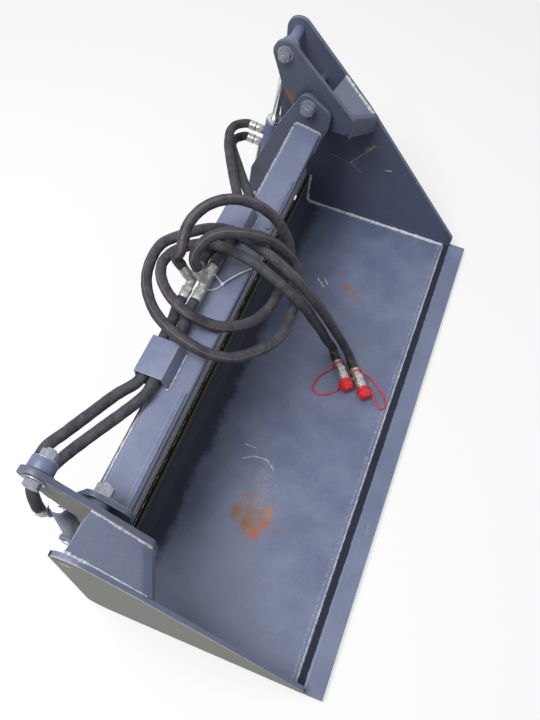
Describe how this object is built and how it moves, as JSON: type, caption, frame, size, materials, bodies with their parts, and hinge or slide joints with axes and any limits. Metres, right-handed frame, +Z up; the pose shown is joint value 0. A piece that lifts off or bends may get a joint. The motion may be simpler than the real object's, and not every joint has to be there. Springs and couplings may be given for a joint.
{
  "type": "four in one loader bucket",
  "caption": "Loader bucket whose jaw swings up from a rear frame on two hydraulic cylinders, to dig, grab, grade and drop its load.",
  "frame": {"origin": "middle of the bucket's footprint on the ground, half way between the cutting edge's front and the rear of the end plates", "axes": "+X to the right-hand end seen from the front, +Y from the cutting edge to the rear frame, +Z up"},
  "size_m": [1.5, 0.819, 0.693],
  "materials": {
    "paint": "satin blue-grey paint, dusty and scratched, with rust along worn edges",
    "zinc": "dull zinc plating",
    "chrome": "hard chrome, dusty",
    "hose": "matt woven sleeve with a thin pale seam",
    "red_plastic": "satin red plastic",
    "white_plastic": "plain white nylon"
  },
  "bodies": {
    "rear_frame": {"top_beam": "paint", "beam_front_strips": "paint", "back_plate": "paint", "back_wing_left": "paint", "back_wing_right": "paint", "back_edge": "paint", "end_plate_left": "paint", "end_plate_right": "paint", "hose_guard_left": "paint", "hose_guard_right": "paint", "hitch_bracket_left": "paint", "hitch_bracket_right": "paint", "hitch_pin_left": "zinc", "hitch_pin_right": "zinc", "cylinder_lugs_left": "paint", "cylinder_lugs_right": "paint", "base_pins": "zinc", "pivot_bushes": "zinc", "hydraulic_tees": "zinc", "tee_hose_ends": "zinc", "hose_left_front": "hose", "hose_left_rear": "hose", "hose_right_front": "hose", "hose_right_rear": "hose", "feed_hose_inner": "hose", "feed_hose_outer": "hose", "cable_tie": "white_plastic"},
    "jaw": {"jaw_floor": "paint", "cutting_edge": "paint", "heel_wear_strip": "paint", "side_plate_left": "paint", "side_plate_right": "paint", "arm_left": "paint", "arm_right": "paint", "arm_cover_left": "paint", "arm_cover_right": "paint", "ear_bolt_left": "zinc", "ear_bolt_right": "zinc", "ear_spacer": "paint", "pivot_pin_left": "zinc", "pivot_pin_right": "zinc", "nuts": "zinc", "washers": "zinc", "coupler_inner": "zinc", "coupler_outer": "zinc", "dust_cap_inner": "red_plastic", "dust_cap_outer": "red_plastic", "lanyards": "red_plastic"},
    "cylinder_left": {"barrel_left": "paint", "gland_left": "chrome", "port_fittings_left": "zinc"},
    "cylinder_right": {"barrel_right": "paint", "gland_right": "chrome", "port_fittings_right": "zinc"},
    "rod_left": {"rod_left": "chrome", "rod_eye_left": "paint", "piston_left": "zinc"},
    "rod_right": {"rod_right": "chrome", "rod_eye_right": "paint", "piston_right": "zinc"}
  },
  "joints": [
    {"name": "jaw_open", "type": "hinge", "parent": "rear_frame", "child": "jaw", "pos_m": [0, 0.20004, 0.529], "axis": [-1, 0, 0], "range_deg": [0, 45], "deforming": ["feed_hose_inner", "feed_hose_outer", "hose_left_front", "hose_left_rear", "hose_right_front", "hose_right_rear"]},
    {"name": "cylinder_left_swing", "type": "hinge", "parent": "rear_frame", "child": "cylinder_left", "pos_m": [-0.625, 0.34601, 0.10998], "axis": [-1, 0, 0], "range_deg": [0, 6.95], "deforming": ["hose_left_front", "hose_left_rear"]},
    {"name": "cylinder_right_swing", "type": "hinge", "parent": "rear_frame", "child": "cylinder_right", "pos_m": [0.656, 0.34601, 0.10998], "axis": [-1, 0, 0], "range_deg": [0, 6.95], "deforming": ["hose_right_front", "hose_right_rear"]},
    {"name": "rod_left_slide", "type": "slide", "parent": "cylinder_left", "child": "rod_left", "axis": [0, 0.1073, -0.9942], "range_m": [0, 0.1025]},
    {"name": "rod_right_slide", "type": "slide", "parent": "cylinder_right", "child": "rod_right", "axis": [0, 0.1073, -0.9942], "range_m": [0, 0.1025]}
  ],
  "couplings": [
    {"joint": "cylinder_left_swing", "follows": "jaw_open", "ratio": 0.15399},
    {"joint": "cylinder_right_swing", "follows": "jaw_open", "ratio": 0.15399},
    {"joint": "rod_left_slide", "follows": "jaw_open", "m_per_rad": 0.13},
    {"joint": "rod_right_slide", "follows": "jaw_open", "m_per_rad": 0.13}
  ]
}
